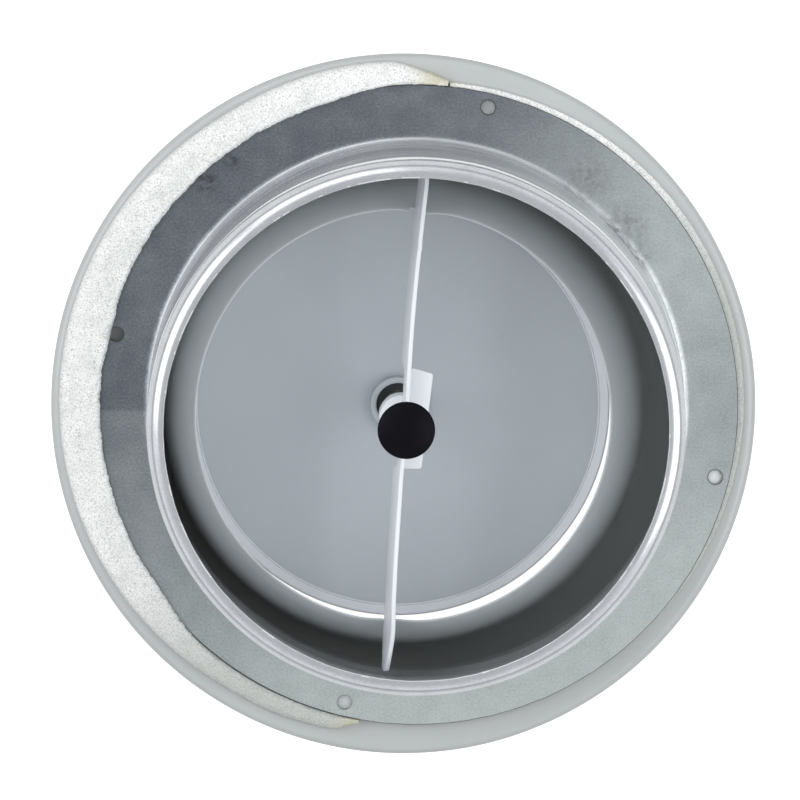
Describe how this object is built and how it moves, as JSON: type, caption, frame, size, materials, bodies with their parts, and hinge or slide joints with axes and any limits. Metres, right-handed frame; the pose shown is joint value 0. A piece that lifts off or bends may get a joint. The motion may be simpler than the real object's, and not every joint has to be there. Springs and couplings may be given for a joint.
{
  "type": "ventilation disc valve",
  "caption": "Round sheet-steel ventilation disc valve with a screw-adjusted disc, a bridge across the throat and foam behind the rim, lying in its galvanised mounting ring.",
  "frame": {"origin": "on the mounting ring's axis, in the plane of the flange face that lies against the ceiling", "axes": "+Z along the ring's axis into the duct, +Y the upper side of the pictured view"},
  "size_m": [0.165, 0.165, 0.0655],
  "materials": {
    "galvanised": "mottled zinc coat, matt",
    "paint": "smooth white paint, satin",
    "foam": "open-cell foam, rough",
    "zinc": "zinc-plated steel",
    "black_cap": "matt black plastic"
  },
  "bodies": {
    "ring_and_body": {"mounting_ring": "galvanised", "valve_body": "paint", "gasket_left": "foam", "gasket_right": "foam", "bridge": "paint", "spindle_bush": "paint"},
    "cap": {"end_cap": "black_cap"},
    "disc_and_spindle": {"spindle": "zinc", "disc": "paint", "hub_collar": "paint"}
  },
  "joints": [
    {"name": "travel", "type": "slide", "parent": "ring_and_body", "child": "cap", "axis": [0.0366, 0, 0.9993], "range_m": [-0.01, 0.012]},
    {"name": "turn", "type": "hinge", "parent": "cap", "child": "disc_and_spindle", "pos_m": [-0.003, -0.0002, 0.0295], "axis": [0.0366, 0, 0.9993], "range_deg": [-3600, 4320]}
  ],
  "couplings": [
    {"joint": "travel", "follows": "turn", "m_per_rad": 0.00015915}
  ]
}
